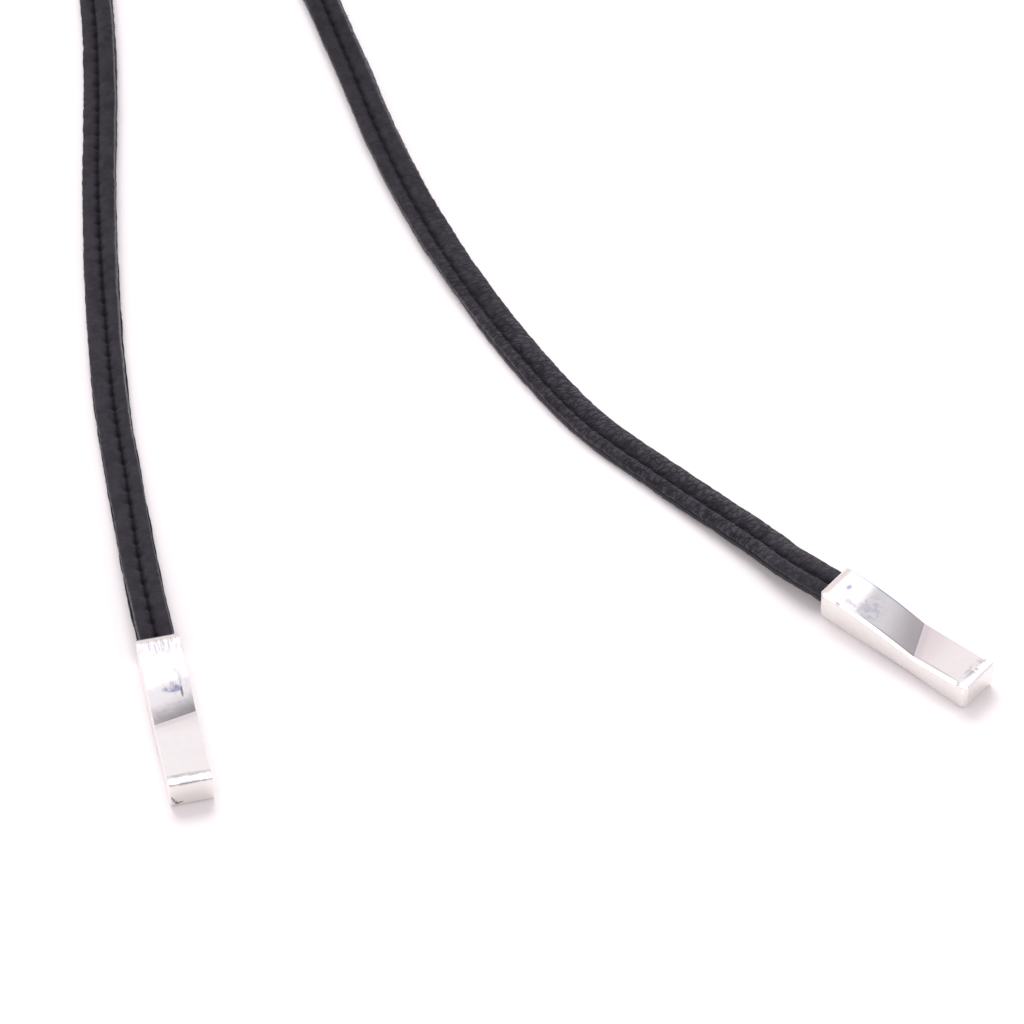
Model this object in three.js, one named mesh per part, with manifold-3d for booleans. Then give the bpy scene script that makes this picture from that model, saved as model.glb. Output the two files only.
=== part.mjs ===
// A flat leather necklace that lies undone on a table: one sewn strap of two leather layers,
// laid in a loop, with an equal silver hook half on each end.
// Millimetres, +Z up, table at z = 0, origin under the middle of the whole lay.
import * as THREE from 'three';
import { mergeVertices } from 'three/addons/utils/BufferGeometryUtils.js';
import Module from 'manifold-3d';

const wasm = await Module();
wasm.setup();

// Strap
const STRAP_WIDTH = 4.9;
const LAYER_THICKNESS = 1.0;
const LAYER_GAP = 0.1;
const LAYER_HOLLOW = 0.04; // how much more each layer is lifted off the other in the middle
const TOP_INSET = 0.1; // the top layer is narrower than the under layer by this on each side
const LOBE_SHOULDER = 0.3; // rounding of the top layer's outer edges
const LOBE_CROWN = 0.2; // how far a lobe's middle stands over its shoulders
const GROOVE_HALF_WIDTH = 0.45;
const GROOVE_DEPTH = 0.35;
const UNDER_BEVEL = 0.2;
const STRAP_STEPS = 200;
const TABLE_CLEARANCE = 0.02; // under the strap

// Hook half: its own x runs from the strap's end to the tip, and its z from the table up
const HOOK_LENGTH = 24.8;
const HOOK_WIDTH = 5.8;
const TOP_HEIGHT = 4.9;
const TOP_LENGTH = 3.5; // flat top over the socket
const DIP_HEIGHT = 3.65;
const DIP_ROUND = 0.1;
const SLOPE_TILT = 11; // degrees, at the slope's foot
const FLOOR_END = 22.2;
const FLOOR_END_HEIGHT = 4.15;
const LIP_AT = 23.5;
const LIP_WALL = 0.5; // the lip's steep inner wall: its length and how far it drops before it rounds into the floor
const LIP_DROP = 0.35;
const LIP_HEIGHT = 4.65;
const HEEL_ROUND = 1.3; // lower corner at the strap's end
const TOE_ROUND = 0.9; // lower corner at the tip
const END_LENGTH = 0.8; // sloping upper corner at the strap's end
const END_DROP = 0.35;
const FOOT_LENGTH = 5.5; // flat feet under the two ends
const ARCH = 0.25; // how far the underside stands clear between the feet
const CURVE_STEPS = 6;

// Socket in the hook for the strap
const SOCKET_DEPTH = 7;
const SOCKET_CLEARANCE = 0.13;
const SOCKET_END_GAP = 0.3;
const SOCKET_HEIGHT = 3.2; // middle of the strap in the socket
const SOCKET_SAG = 0.45; // how far the strap has come down one socket's depth outside it

// Where the lay's middle is in the table frame that the places below are given in
const MIDDLE = new THREE.Vector2(-4.936, 57.442);

// Hook halves: the middle of the strap's end on the table, and the way the hook points in degrees.
// Each is filed by hand: dipAt is its floor's lowest place along its middle,
// slant is how far the dip runs back for each millimetre across,
// and the bevels are those round its side faces, right and left as seen from the strap.
const HOOKS = [
  {
    name: 'hook_left',
    x: -46.94,
    y: -25.33,
    heading: -77.2,
    dipAt: 13.25,
    slant: 0.2,
    rightBevel: 0.15,
    leftBevel: 0.15,
  },
  {
    name: 'hook_right',
    x: 42.8,
    y: -15.77,
    heading: -41.0,
    dipAt: 14.6,
    slant: 0.44,
    rightBevel: 0.42,
    leftBevel: 0.15,
  },
];

const HALF_THICKNESS = LAYER_THICKNESS + LAYER_GAP / 2;
const SOCKET_RISE = SOCKET_HEIGHT - HALF_THICKNESS;

// The strap's middle line on the table, from the left hook round to the right one.
// roll: degrees about the way of travel, 0 face up, -90 on its edge with the face outward.
// rise: how far the strap is lifted off the table.
const ROUTE = [
  { x: -50.2, y: -10.1, roll: 0, rise: 1.0 },
  { x: -52.7, y: 3.5, roll: -1, rise: 0.2 },
  { x: -55.2, y: 17.7, roll: -3, rise: 0 },
  { x: -57.0, y: 32.2, roll: -5, rise: 0 },
  { x: -58.3, y: 46.8, roll: -8, rise: 0 },
  { x: -59.2, y: 61.4, roll: -11, rise: 0 },
  { x: -59.8, y: 76.0, roll: -14, rise: 0 },
  { x: -60.8, y: 90.5, roll: -18, rise: 0 },
  { x: -62.6, y: 104.9, roll: -28, rise: 0 },
  { x: -65.5, y: 119.3, roll: -45, rise: 0 },
  { x: -69.2, y: 133.8, roll: -66, rise: 0 },
  { x: -71.8, y: 148.2, roll: -82, rise: 0 },
  { x: -65.1, y: 160.2, roll: -89, rise: 0 },
  { x: -52.1, y: 163.9, roll: -90, rise: 0 },
  { x: -40.2, y: 157.6, roll: -87, rise: 0 },
  { x: -35.6, y: 144.2, roll: -70, rise: 0 },
  { x: -35.2, y: 128.4, roll: -42, rise: 0 },
  { x: -32.8, y: 112.4, roll: -15, rise: 0 },
  { x: -28.2, y: 98.1, roll: 6, rise: 0 },
  { x: -23.4, y: 83.7, roll: 9, rise: 0 },
  { x: -18.8, y: 69.7, roll: 8, rise: 0 },
  { x: -13.2, y: 55.5, roll: 5, rise: 0 },
  { x: -6.6, y: 41.8, roll: 2, rise: 0 },
  { x: 1.2, y: 28.4, roll: 0, rise: 0 },
  { x: 10.4, y: 15.4, roll: 0, rise: 0 },
  { x: 21.4, y: 4.7, roll: 0, rise: 0.2 },
  { x: 32.2, y: -5.5, roll: 0, rise: 1.0 },
];

const silver = { color: 0xe9e6e6, roughness: 0.12, metalness: 1 };
const leather = { color: 0x2b2a2e, roughness: 0.6, metalness: 0 };

// A row of the route on a hook's own line, this far into its socket
function seatRow(hook, depth, rise = SOCKET_RISE) {
  const heading = THREE.MathUtils.degToRad(hook.heading);
  return {
    x: hook.x + depth * Math.cos(heading),
    y: hook.y + depth * Math.sin(heading),
    roll: 0,
    rise,
  };
}

// The strap's middle line in space, which also says how the strap is rolled along it
class StrapLine extends THREE.Curve {
  constructor(rows) {
    super();
    const spline = (points) => new THREE.CatmullRomCurve3(points, false, 'catmullrom');
    this.places = spline(rows.map((row) => new THREE.Vector3(row.x, row.y, 0)));
    this.lays = spline(rows.map((row) => new THREE.Vector3(row.roll, row.rise, 0)));
  }

  rollAt(t) {
    return THREE.MathUtils.degToRad(this.lays.getPoint(t).x);
  }

  getPoint(t, target = new THREE.Vector3()) {
    const roll = this.rollAt(t);
    this.places.getPoint(t, target);
    target.z = (STRAP_WIDTH / 2) * Math.abs(Math.sin(roll)) + HALF_THICKNESS * Math.cos(roll);
    target.z += this.lays.getPoint(t).y + TABLE_CLEARANCE;
    return target;
  }

  computeFrenetFrames(segments) {
    const frames = { tangents: [], normals: [], binormals: [] };
    for (let i = 0; i <= segments; i += 1) {
      const u = i / segments;
      const along = this.getTangentAt(u);
      const face = new THREE.Vector3(0, 0, 1).projectOnPlane(along).normalize();
      face.applyAxisAngle(along, this.rollAt(this.getUtoTmapping(u)));
      frames.tangents.push(along);
      frames.normals.push(new THREE.Vector3().crossVectors(face, along));
      frames.binormals.push(face);
    }
    return frames;
  }
}

function shapeFrom(points) {
  return new THREE.Shape(points.map(([x, y]) => new THREE.Vector2(x, y)));
}

// Section of the upper layer: two lobes with the sewn groove between them
function topLayerSection() {
  const half = STRAP_WIDTH / 2 - TOP_INSET;
  const low = LAYER_GAP / 2;
  const high = low + LAYER_THICKNESS;
  const shoulder = high - LOBE_CROWN;
  const crown = (half + GROOVE_HALF_WIDTH) / 2;
  const rightSide = [
    [half, low],
    [half, shoulder - LOBE_SHOULDER],
    [half - LOBE_SHOULDER, shoulder],
    [crown, high],
    [GROOVE_HALF_WIDTH, shoulder],
  ];
  const leftSide = rightSide.map(([x, y]) => [-x, y]).reverse();
  return shapeFrom([...rightSide, [0, high - GROOVE_DEPTH], ...leftSide, [0, low + LAYER_HOLLOW]]);
}

// Section of the lower layer: a flat band with bevelled lower edges
function underLayerSection() {
  const half = STRAP_WIDTH / 2;
  const high = -LAYER_GAP / 2;
  const low = high - LAYER_THICKNESS;
  return shapeFrom([
    [-half, high],
    [-half, low + UNDER_BEVEL],
    [-half + UNDER_BEVEL, low],
    [half - UNDER_BEVEL, low],
    [half, low + UNDER_BEVEL],
    [half, high],
    [0, high - LAYER_HOLLOW],
  ]);
}

function strapLayer(name, section, line) {
  const options = { steps: STRAP_STEPS, bevelEnabled: false, extrudePath: line };
  const geometry = new THREE.ExtrudeGeometry(section, options);
  const mesh = new THREE.Mesh(geometry, new THREE.MeshStandardMaterial(leather));
  mesh.name = name;
  return mesh;
}

// Side outline of a hook half: feet, tip, lip, dipped floor, slope, flat top and heel
function hookOutline({ dipAt }) {
  const outline = new THREE.Shape();
  const archMiddle = HOOK_LENGTH / 2;
  const floorSlope = (FLOOR_END_HEIGHT - DIP_HEIGHT) / (FLOOR_END - dipAt);
  const footSlope = Math.tan(THREE.MathUtils.degToRad(SLOPE_TILT));
  const slopeStart = dipAt - (TOP_HEIGHT - DIP_HEIGHT) / footSlope;
  const wallFoot = LIP_AT - (LIP_WALL * (LIP_HEIGHT - FLOOR_END_HEIGHT)) / LIP_DROP;
  outline.moveTo(HEEL_ROUND, 0);
  outline.lineTo(FOOT_LENGTH, 0);
  outline.quadraticCurveTo(archMiddle, 2 * ARCH, HOOK_LENGTH - FOOT_LENGTH, 0);
  outline.lineTo(HOOK_LENGTH - TOE_ROUND, 0);
  outline.quadraticCurveTo(HOOK_LENGTH, 0, HOOK_LENGTH, TOE_ROUND);
  outline.lineTo(HOOK_LENGTH, LIP_HEIGHT);
  outline.lineTo(LIP_AT, LIP_HEIGHT);
  outline.lineTo(LIP_AT - LIP_WALL, LIP_HEIGHT - LIP_DROP);
  outline.quadraticCurveTo(wallFoot, FLOOR_END_HEIGHT, FLOOR_END, FLOOR_END_HEIGHT);
  outline.lineTo(dipAt + DIP_ROUND, DIP_HEIGHT + DIP_ROUND * floorSlope);
  outline.quadraticCurveTo(dipAt, DIP_HEIGHT, dipAt - DIP_ROUND, DIP_HEIGHT + DIP_ROUND * footSlope);
  outline.quadraticCurveTo(slopeStart, TOP_HEIGHT, TOP_LENGTH, TOP_HEIGHT);
  outline.lineTo(END_LENGTH, TOP_HEIGHT);
  outline.lineTo(0, TOP_HEIGHT - END_DROP);
  outline.lineTo(0, HEEL_ROUND);
  outline.quadraticCurveTo(0, 0, HEEL_ROUND, 0);
  return outline;
}

// The outline as a bar along +X on the table, this wide from its right face, with a bevel round both faces
function bevelledBar(hook, right, width, bevel) {
  const geometry = new THREE.ExtrudeGeometry(hookOutline(hook), {
    depth: width - 2 * bevel,
    curveSegments: CURVE_STEPS,
    bevelThickness: bevel,
    bevelSize: bevel,
    bevelOffset: -bevel,
    bevelSegments: 1,
  });
  geometry.translate(0, 0, bevel - right - width);
  geometry.rotateX(Math.PI / 2);
  return geometry;
}

// A whole bar from two that overlap past its middle, so that each side face has its own bevel
function hookBar(hook) {
  const width = 0.75 * HOOK_WIDTH;
  const rightPart = bevelledBar(hook, -HOOK_WIDTH / 2, width, hook.rightBevel);
  const leftPart = bevelledBar(hook, HOOK_WIDTH / 2 - width, width, hook.leftBevel);
  return solidOf(rightPart).add(solidOf(leftPart));
}

// Moves the bar's sections so that the dip runs slantwise, most at the dip and not at all at the flat top and the lip
function slantDip([x, y], { dipAt, slant }) {
  const share = Math.min((x - TOP_LENGTH) / (dipAt - TOP_LENGTH), (FLOOR_END - x) / (FLOOR_END - dipAt));
  return x - slant * y * Math.max(share, 0);
}

// The space that the strap's end fills, open at the bar's end
function socketSpace() {
  const reach = SOCKET_DEPTH + SOCKET_END_GAP;
  const outside = 1;
  const width = STRAP_WIDTH + 2 * SOCKET_CLEARANCE;
  const height = 2 * (HALF_THICKNESS + SOCKET_CLEARANCE);
  const geometry = new THREE.BoxGeometry(reach + outside, width, height);
  geometry.translate((reach - outside) / 2, 0, SOCKET_HEIGHT);
  return geometry;
}

function solidOf(geometry) {
  const bare = geometry.clone();
  bare.deleteAttribute('normal');
  bare.deleteAttribute('uv');
  const merged = mergeVertices(bare);
  return new wasm.Manifold(new wasm.Mesh({
    numProp: 3,
    vertProperties: new Float32Array(merged.attributes.position.array),
    triVerts: new Uint32Array(merged.index.array),
  }));
}

function geometryOf(solid) {
  const mesh = solid.getMesh();
  const geometry = new THREE.BufferGeometry();
  geometry.setAttribute('position', new THREE.BufferAttribute(mesh.vertProperties, 3));
  geometry.setIndex(new THREE.BufferAttribute(mesh.triVerts, 1));
  geometry.computeVertexNormals();
  return geometry;
}

function hookHalf(hook) {
  const bar = hookBar(hook).warp((place) => {
    place[0] = slantDip(place, hook);
  });
  const solid = bar.subtract(solidOf(socketSpace()));
  const mesh = new THREE.Mesh(geometryOf(solid), new THREE.MeshStandardMaterial(silver));
  mesh.name = hook.name;
  mesh.position.set(hook.x, hook.y, 0);
  mesh.rotation.z = THREE.MathUtils.degToRad(hook.heading);
  return mesh;
}

const [leftHook, rightHook] = HOOKS;
const strapLine = new StrapLine([
  seatRow(leftHook, SOCKET_DEPTH),
  seatRow(leftHook, 0),
  seatRow(leftHook, -SOCKET_DEPTH, SOCKET_RISE - SOCKET_SAG),
  ...ROUTE,
  seatRow(rightHook, -SOCKET_DEPTH, SOCKET_RISE - SOCKET_SAG),
  seatRow(rightHook, 0),
  seatRow(rightHook, SOCKET_DEPTH),
]);

const necklace = new THREE.Group();
necklace.position.set(-MIDDLE.x, -MIDDLE.y, 0);
necklace.add(
  strapLayer('leather_strap_top', topLayerSection(), strapLine),
  strapLayer('leather_strap_under', underLayerSection(), strapLine),
  ...HOOKS.map(hookHalf),
);

export default necklace;
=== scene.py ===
import math

import bmesh
import bpy
import numpy as np
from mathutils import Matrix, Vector


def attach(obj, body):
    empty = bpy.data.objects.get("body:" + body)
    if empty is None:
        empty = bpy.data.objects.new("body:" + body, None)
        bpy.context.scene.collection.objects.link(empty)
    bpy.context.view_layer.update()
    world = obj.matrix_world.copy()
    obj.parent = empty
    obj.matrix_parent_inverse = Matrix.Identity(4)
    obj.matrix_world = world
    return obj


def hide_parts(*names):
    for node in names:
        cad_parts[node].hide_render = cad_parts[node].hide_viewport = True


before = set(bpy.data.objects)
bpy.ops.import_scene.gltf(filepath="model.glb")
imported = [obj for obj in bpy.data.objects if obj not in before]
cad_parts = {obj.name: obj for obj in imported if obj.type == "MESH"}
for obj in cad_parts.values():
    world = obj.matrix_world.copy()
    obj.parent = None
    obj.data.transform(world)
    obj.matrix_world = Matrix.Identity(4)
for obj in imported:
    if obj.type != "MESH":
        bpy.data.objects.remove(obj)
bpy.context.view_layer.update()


def rows_of(columns, *rows):
    """The rows of a table as dictionaries, with these words as the names of its columns."""
    return [dict(zip(columns.split(), row)) for row in rows]


MM = 0.001

# The route and the hooks are measured in millimetres from the table point in the picture's middle;
# MIDDLE is the middle of the whole lay from there, and TARGET that point in the part's own frame
MIDDLE = np.array([-4.936, 57.442])
TARGET = Vector((-MIDDLE[0] * MM, -MIDDLE[1] * MM, 0))

# Camera: its height angle in degrees, its distance from that point in metres, and its lens
PICTURE_SIDE = 1024
CAMERA_HEIGHT_ANGLE = 50.0
CAMERA_DISTANCE = 0.7
FOCAL_PIXELS = 5147.0
SENSOR_WIDTH = 36.0

# Strap, in millimetres: s runs along it from the left hook, u across it out of the loop,
# and v up from its middle line
STRAP_WIDTH = 4.9
LAYER_THICKNESS = 1.0
LAYER_GAP = 0.1
TOP_INSET = 0.1
STRAP_HALF = STRAP_WIDTH / 2
FACE_HALF = STRAP_HALF - TOP_INSET
HALF_THICKNESS = LAYER_THICKNESS + LAYER_GAP / 2
TABLE_CLEARANCE = 0.02
LOWEST = 0.01
ROUTE_STEPS = 60

# Upper layer: its rounded shoulders with their turns in degrees, the points across its face, how high the
# feet of its cut edges are and how far they lap over the gap, the lining behind the inner one, how its
# hollow back rises, and where its face starts to fall to the edges
SHOULDER_ROUND = 0.28
SHOULDER_TURNS = (0, 22, 45, 68)
FACE_FLAT = FACE_HALF - SHOULDER_ROUND
FACE_POINTS = 41
FACE_FOOT = 0.12
FACE_LAP = 0.07
FACE_LINING = 0.05
FACE_HOLLOW = ((-0.5, 0.02), (0.0, 0.03), (0.5, 0.02))
FALL_START = 0.7
RING_STEP = 0.25

# Under layer: its upper and lower chamfers, how its upper side sags, its groove, and how it looks
BACK_CHAMFER = (0.05, 0.06)
BACK_LOWER_CHAMFER = (0.2, 0.22)
BACK_SAG = ((0.5, 0.03), (0.0, 0.04), (-0.5, 0.03))
BACK_GROOVE_DEPTH = 0.42
BACK_GROOVE_REACH = 0.3
BACK_GROOVE_POINTS = (-1.6, -0.9, -0.5, -0.32, -0.16, 0, 0.16, 0.32, 0.5, 0.9, 1.6)
BACK_EDGE_BAND = 0.15
BACK_EDGE_TONE = 0.6
BACK_WRINKLES = 0.2
BACK_RING_STEP = 0.5

# Seam: its groove, how much wider than that its painted dark shade is and how strong that shade is between
# the holes, its stitch holes, and how the leather beside it is pulled down
SEAM_DEPTH = 0.3
SEAM_WAVER = 0.04
SEAM_WAVER_START = 0.6
SEAM_SHADE_WIDTH = 1.35
SEAM_SHADE = 0.62
HOLE_DEPTH = 0.14
HOLE_LENGTH = 0.45
HOLE_WIDENING = 0.1
HOLE_WIDENING_LENGTH = 0.4
PULL_DEPTH = 0.1
PULL_HOLE_DEPTH = 0.04
PULL_REACH = 0.85

# Stitches: the thread's shape, how far it shows over the leather, and how deep its ends go
STITCH_PITCH = 2.5
STITCH_LENGTH = 1.9
STITCH_MARGIN = 1.0
STITCH_SKEW = 0.05
STITCH_SHOWS = 0.35
STITCH_SINK = 0.22
BACK_STITCH_RISE = 0.24
BACK_STITCH_SINK = 0.16
THREAD_RADIUS = 0.13
THREAD_FLATNESS = 0.85
THREAD_SIDES = 8
THREAD_RINGS = 9

# Hook half, in millimetres: x from the strap's end to the tip, z from the table up
HOOK_LENGTH = 24.8
HOOK_WIDTH = 5.8
TOP_HEIGHT = 4.9
TOP_LENGTH = 3.5
DIP_HEIGHT = 3.65
SLOPE_TILT = 11.0
FLOOR_END = 22.2
FLOOR_END_HEIGHT = 4.15
LIP_AT = 23.5
LIP_WALL = 0.5
LIP_DROP = 0.35
LIP_HEIGHT = 4.65
LIP_ROUND = 0.15
HEEL_ROUND = 1.3
TOE_ROUND = 0.9
END_LENGTH = 0.8
END_DROP = 0.35
BEVEL_ROUND = 0.25
FOOT_LENGTH = 5.5
ARCH = 0.25
SOCKET_DEPTH = 7.0
SOCKET_CLEARANCE = 0.13
SOCKET_END_GAP = 0.3
SOCKET_HEIGHT = 3.2
SOCKET_SAG = 0.45
SOCKET_RISE = SOCKET_HEIGHT - HALF_THICKNESS

# Its mesh: a short straight piece beside each curve keeps the shading of flat faces flat,
# points that fall together are merged, and edges sharper than this many degrees stay sharp
STRAIGHT = 0.1
SIDE_MARGIN = 0.04
TOP_MARGIN = 0.05
MERGE_DISTANCE = 1e-5
SHARP_ANGLE = 12.5
INSET_ROUNDS = 40

# Hook halves: the middle of the strap's end on the table, and the way the hook points in degrees,
# then the floor's lowest place along the middle, how far the dip runs back for each millimetre across,
# and the bevels of the two sides, right and left as seen from the strap
HOOKS = {
    "left": {"x": -46.94, "y": -25.33, "heading": -77.2,
             "dip": 13.25, "slant": 0.2, "bevels": (0.05, 0.05)},
    "right": {"x": 42.8, "y": -15.77, "heading": -41.0,
              "dip": 14.6, "slant": 0.44, "bevels": (0.42, 0.05)},
}

# The strap's middle line on the table, from the left hook round to the right one:
# x, y, roll in degrees about the way of travel, and how far the strap is lifted
ROUTE = [
    (-50.2, -10.1, 0, 1.0),
    (-52.7, 3.5, -1, 0.2),
    (-55.2, 17.7, -3, 0),
    (-57.0, 32.2, -5, 0),
    (-58.3, 46.8, -8, 0),
    (-59.2, 61.4, -11, 0),
    (-59.8, 76.0, -14, 0),
    (-60.8, 90.5, -18, 0),
    (-62.6, 104.9, -28, 0),
    (-65.5, 119.3, -45, 0),
    (-69.2, 133.8, -66, 0),
    (-71.8, 148.2, -82, 0),
    (-65.1, 160.2, -89, 0),
    (-52.1, 163.9, -90, 0),
    (-40.2, 157.6, -87, 0),
    (-35.6, 144.2, -70, 0),
    (-35.2, 128.4, -42, 0),
    (-32.8, 112.4, -15, 0),
    (-28.2, 98.1, 6, 0),
    (-23.4, 83.7, 9, 0),
    (-18.8, 69.7, 8, 0),
    (-13.2, 55.5, 5, 0),
    (-6.6, 41.8, 2, 0),
    (1.2, 28.4, 0, 0),
    (10.4, 15.4, 0, 0),
    (21.4, 4.7, 0, 0.2),
    (32.2, -5.5, 0, 1.0),
]

# The strap along its length: how far the seam lies from the middle and how wide its groove is, how pale
# the face is (its own paleness, raised along the right-hand run as painted light), how far the face falls
# to its edges outside and inside the loop, how deep the stitch holes look and how wrinkled the face is
LAY = rows_of(
    "at seam groove tone outer_fall inner_fall holes wrinkles",
    (0, 0.05, 0.33, 1.56, 0.26, 0.26, 1.0, 0.12),
    (20, 0.05, 0.33, 1.60, 0.26, 0.26, 1.0, 0.12),
    (37, -0.28, 0.33, 1.70, 0.26, 0.26, 1.0, 0.12),
    (65, -0.34, 0.34, 1.68, 0.26, 0.26, 0.9, 0.12),
    (95, 0.08, 0.36, 1.51, 0.3, 0.26, 0.8, 0.12),
    (120, 0.14, 0.36, 1.37, 0.3, 0.26, 0.6, 0.12),
    (290, -0.11, 0.36, 1.30, 0.26, 0.26, 0.4, 0.12),
    (322, -0.42, 0.43, 1.70, 0.26, 0.35, 0.4, 0.25),
    (347, -0.69, 0.49, 2.01, 0.32, 0.5, 0.45, 0.75),
    (372, -0.73, 0.5, 2.22, 0.4, 0.55, 0.5, 1.0),
    (410, -0.45, 0.5, 2.42, 0.35, 0.55, 0.5, 1.0),
    (424, -0.25, 0.42, 2.04, 0.26, 0.35, 0.6, 0.4),
)

# How strong the pale line along the upper layer's edges is along the strap, outside and inside the loop: at
# the edge's foot it is the cut edge's own colour, on its shoulder a painted highlight; how much of the line
# lies at the foot of the edge instead of its shoulder, and how far in from the edge it runs
EDGES = rows_of(
    "at outer_edge inner_edge low inset",
    (0, 0.75, 0.45, 0.0, 0.08),
    (15, 0.65, 0.45, 0.0, 0.08),
    (20, 0.15, 0.4, 0.0, 0.08),
    (27, 0.1, 0.12, 0.0, 0.08),
    (40, 0.1, 0.2, 0.0, 0.08),
    (48, 0.1, 1.5, 0.2, 0.08),
    (75, 0.15, 1.5, 0.6, 0.08),
    (90, 0.15, 0.75, 1.0, 0.08),
    (180, 0.15, 0.6, 1.0, 0.08),
    (280, 0.75, 0.05, 0.0, 0.17),
    (312, 0.75, 0.05, 0.0, 0.17),
    (335, 0.3, 0.05, 0.0, 0.08),
    (430, 0.15, 0.05, 0.0, 0.08),
)

# How strong that line is at each distance in from the edge, in its own insets
PALE_LINE = rows_of("at strength", (0.0, 0.0), (0.25, 0.35), (1.0, 1.0), (2.1, 0.6), (3.5, 0.0))

# Stretches where the under layer sticks out more, or less, on the outer edge, 1, or the inner one, -1
LEDGES = rows_of(
    "start end edge wide",
    (7.4, 21, 1, 0.07),
    (7.4, 33, -1, 0.1),
    (48, 72, -1, 0.05),
    (78, 190, -1, -0.12),
    (258, 356, -1, -0.2),
)
LEDGE_FADES = (0.5, 5)

# Along the strap: how far the upper layer's inner edge covers the under layer's, with painted shade on that
# covering edge's wall; how much painted shade darkens the face's inner shoulder; and how pale the under
# layer is, its own paleness raised as painted light along the right-hand run
COVER = rows_of("at share", (262, 0), (276, 1), (338, 1), (352, 0))
COVER_SPREAD = 0.12
COVER_DROP = 0.55
COVER_SHADE = 0.2
NEAR_SHADE = rows_of("at share", (290, 0), (320, 0.1), (372, 0.15), (390, 0.25))
NEAR_SHADE_PLACE = (1.95, 0.3)
UNDER_TONE_AND_PAINTED_LIGHT = rows_of("at tone", (290, 0.8), (320, 1.8), (385, 1.8), (405, 1.3))

# Where the face is paler than this, a painted sheen makes its two sides paler still: how much, from which u
# on and how gently
GLOW_FROM = 1.5
FAR_GLOW = {"share": 0.33, "start": 0.4, "reach": 1.8}
NEAR_GLOW = {"share": 0.2, "start": 0.9, "reach": 0.5}

# Ripples of the cut edges, two for each: how far they go out, how far apart they are, and their seed
RIPPLES = {
    "face_outer": ((0.05, 3.1, 11), (0.06, 0.6, 12)),
    "face_inner": ((0.05, 2.7, 13), (0.04, 0.6, 14)),
    "back_outer": ((0.06, 2.3, 21), (0.05, 0.8, 22)),
    "back_inner": ((0.06, 2.9, 23), (0.05, 0.8, 24)),
}

# Loose fibres: their stretches of the strap, where a place under 0 is measured from its right end,
# and the ranges of their lengths, heights, leans and bends
FIBRES = rows_of(
    "start end edge count",
    (12, -12, 1, 420),
    (12, -12, -1, 420),
    (-78, -9, -1, 420),
    (9, 60, 1, 160),
    (-150, -10, 1, 260),
)
FIBRE_SEED = 5
FIBRE_LENGTHS = (0.12, 0.42)
FIBRE_HEIGHTS = (-0.8, 0.3)
FIBRE_ROOT = 0.08
FIBRE_LEANS = (-1.6, 1.6)
FIBRE_TILTS = (-0.5, 0.5)
FIBRE_BENDS = (-0.08, 0.08)
FIBRE_BEND_AT = 0.55
FIBRE_RADII = (0.035, 0.022)
FIBRE_LOWEST = 0.05

# Soft lights that face the picture's middle: direction in degrees, distance and size in metres,
# power in watts, and whether polished things mirror them
LIGHTS = rows_of(
    "name azimuth height distance size watts mirrored",
    ("left_panel", 250, 30, 1.3, (0.9, 0.7), 2.0, True),
    ("right_panel", 98, 35, 1.3, (0.9, 0.7), 2.2, True),
    ("back_panel", 346, 57, 1.3, (0.9, 0.7), 10.8, False),
)

# Room: how bright it is, its front beside that, how much dimmer it is to the right of the panel, in two
# steps, and above it, and its colours; then the bright panel high on the wall behind: where its right side,
# foot and top are in degrees, how soft its rim is and how much brighter it is
ROOM_GLOW = 0.95
FRONT_GLOW = 0.95
SIDE_DIM = 0.22
CEILING_DIM = 0.5
FRONT_COLOUR = (1.01, 0.93, 0.955, 1)
WALL_COLOUR = (1.04, 1.0, 1.01, 1)
WALL_TOP_COLOUR = (1.0, 0.93, 0.94, 1)
CEILING_COLOUR = (0.99, 0.96, 1.0, 1)
PANEL = {"right": 10.0, "low": 49.8, "high": 66.4, "rim": 0.006, "glow": 0.35}

# Table top, in metres
TABLE_REACH = 4.0
TABLE_COLOURS = ((0.865, 0.84, 0.853, 1), (0.875, 0.85, 0.863, 1))

# Leather, thread and fibres
FACE_COLOUR = (0.0093, 0.0077, 0.0118, 1)
# The pale colour of the upper layer's cut edges, also used for the painted highlight on its shoulders
FACE_EDGE_AND_HIGHLIGHT_COLOUR = (0.16, 0.168, 0.172, 1)
UNDER_EDGE_COLOUR = (0.026, 0.031, 0.035, 1)
SHEEN_TINT = (0.95, 0.9, 1.0, 1)
LEATHER_RELIEF = {"pores": 0.00002, "grain": 0.00004, "wrinkles": 0.00008, "edge": 0.00006}
THREAD_COLOURS = ((0.006, 0.0054, 0.0075, 1), (0.011, 0.01, 0.013, 1))
THREAD_TWIST = 38
THREAD_RELIEF = {"strands": 0.00001}
FIBRE_COLOURS = ((0.015, 0.018, 0.021, 1), (0.09, 0.105, 0.11, 1))

# Silver, its sides' painted shade and roughness, and the colours of the marks on it: tarnish, smudges, haze
# and nicks, and in the same colours painted shade and painted reflections on the lip, bevel edges and slope,
# with painted shade in the dip and on the end
SILVER_COLOURS = ((0.945, 0.925, 0.93, 1), (0.93, 0.905, 0.912, 1))
# The sides and ends: painted shade that darkens and warms their colour, and how much rougher they are
SIDE_PAINTED_SHADE_COLOUR = (0.89, 0.865, 0.84, 1)
SATIN_ROUGHNESS = 0.27
SILVER_RELIEF = {"waves": 0.000012, "hammer": 0.0000025, "streaks": 0.0000012, "marks": 0.0001}
TARNISH_AND_SHADE = (0.36, 0.36, 0.41, 1)
BLUE_SMUDGE_AND_SHADE = (0.3, 0.34, 0.56, 1)
GREY_HAZE_AND_SHADE = (0.52, 0.51, 0.55, 1)
NICK = (0.1, 0.09, 0.09, 1)
RECESS_SHADE = (0.76, 0.69, 0.71, 1)
END_SHADE = (0.82, 0.74, 0.71, 1)


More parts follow.
